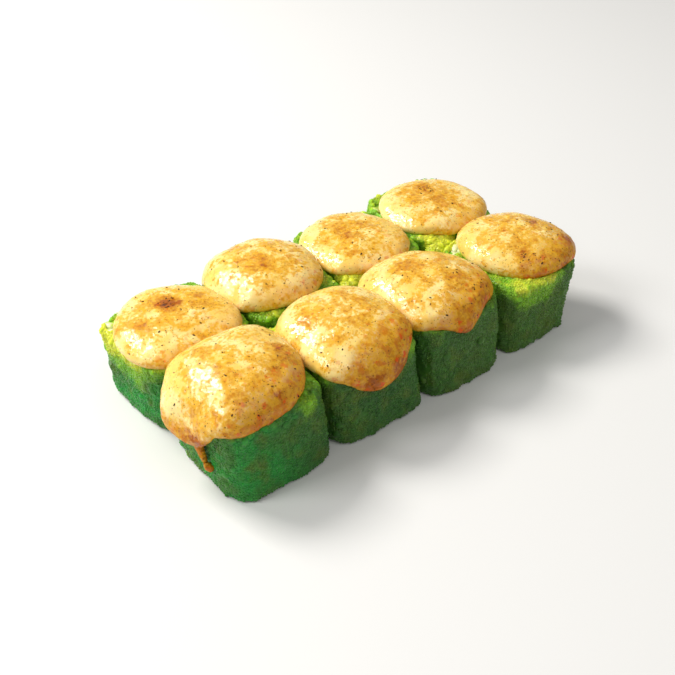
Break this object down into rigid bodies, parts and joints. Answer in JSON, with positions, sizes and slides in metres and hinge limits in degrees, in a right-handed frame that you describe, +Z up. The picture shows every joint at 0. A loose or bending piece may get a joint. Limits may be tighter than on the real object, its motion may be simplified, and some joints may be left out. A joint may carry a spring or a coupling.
{
  "type": "uramaki roll",
  "caption": "Baked inside-out sushi roll cut into square slices: pressed rice coated in green roe, each topped with a browned cap of baked sauce, standing side by side.",
  "frame": {"origin": "middle of the footprint, on the table", "axes": "+X along the two rows of slices, away from the end with the drip; +Y from the front row to the back row; +Z up"},
  "size_m": [0.1462, 0.0766, 0.034],
  "materials": {
    "rice": "moist pressed rice",
    "roe": "wet green roe over rice",
    "sauce": "baked, browned and glossy with oil"
  },
  "bodies": {
    "root": {"rice_back_1": "rice", "roe_back_1": "roe", "cap_back_1": "sauce", "rice_back_2": "rice", "roe_back_2": "roe", "cap_back_2": "sauce", "rice_back_3": "rice", "roe_back_3": "roe", "cap_back_3": "sauce", "rice_back_4": "rice", "roe_back_4": "roe", "cap_back_4": "sauce", "rice_front_1": "rice", "roe_front_1": "roe", "cap_front_1": "sauce", "rice_front_2": "rice", "roe_front_2": "roe", "cap_front_2": "sauce", "rice_front_3": "rice", "roe_front_3": "roe", "cap_front_3": "sauce", "rice_front_4": "rice", "roe_front_4": "roe", "cap_front_4": "sauce"}
  },
  "joints": []
}
